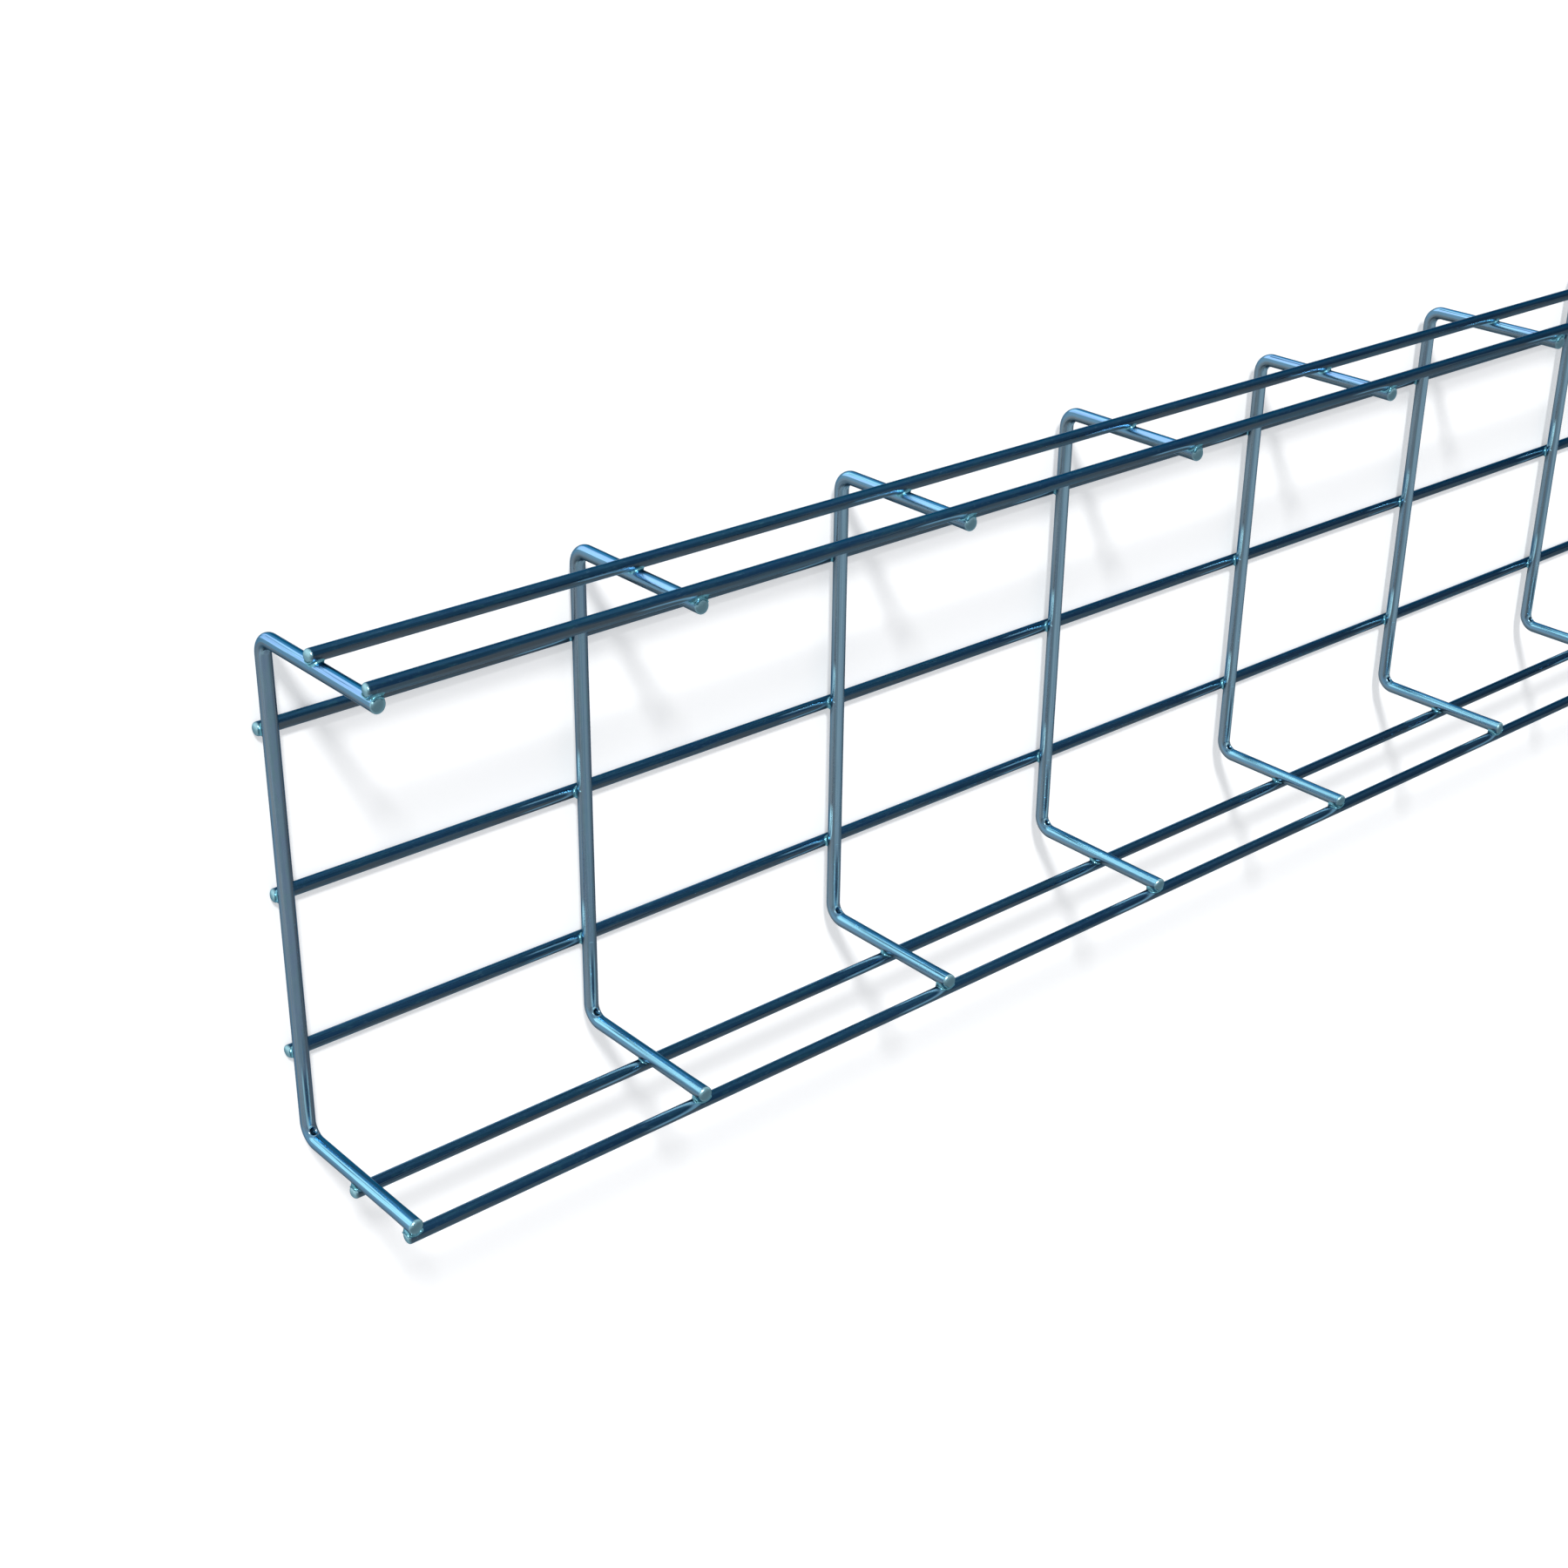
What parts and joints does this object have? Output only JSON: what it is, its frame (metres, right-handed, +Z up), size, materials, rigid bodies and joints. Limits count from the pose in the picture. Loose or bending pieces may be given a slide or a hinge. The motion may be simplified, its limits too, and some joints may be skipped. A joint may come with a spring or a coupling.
{
  "type": "wire mesh cable basket",
  "caption": "Straight length of open-topped U-shaped cable basket made of welded round steel wires with bright blue zinc plating.",
  "frame": {"origin": "on the floor under the middle of the base, half-way along the basket", "axes": "+X along the basket and its long wires, +Y across the base from the front side to the back side, +Z up out of the open side"},
  "size_m": [1.506, 0.166, 0.0627],
  "materials": {
    "blue_zinc_wire": "drawn steel wire with bright blue-passivated zinc plating"
  },
  "bodies": {
    "root": {"long_wire_base_front": "blue_zinc_wire", "long_wire_base_middle": "blue_zinc_wire", "long_wire_base_back": "blue_zinc_wire", "long_wire_front_lower": "blue_zinc_wire", "long_wire_front_upper": "blue_zinc_wire", "long_wire_back_lower": "blue_zinc_wire", "long_wire_back_upper": "blue_zinc_wire", "cross_wire_01": "blue_zinc_wire", "cross_wire_02": "blue_zinc_wire", "cross_wire_03": "blue_zinc_wire", "cross_wire_04": "blue_zinc_wire", "cross_wire_05": "blue_zinc_wire", "cross_wire_06": "blue_zinc_wire", "cross_wire_07": "blue_zinc_wire", "cross_wire_08": "blue_zinc_wire", "cross_wire_09": "blue_zinc_wire", "cross_wire_10": "blue_zinc_wire", "cross_wire_11": "blue_zinc_wire", "cross_wire_12": "blue_zinc_wire", "cross_wire_13": "blue_zinc_wire", "cross_wire_14": "blue_zinc_wire", "cross_wire_15": "blue_zinc_wire", "cross_wire_16": "blue_zinc_wire"}
  },
  "joints": []
}
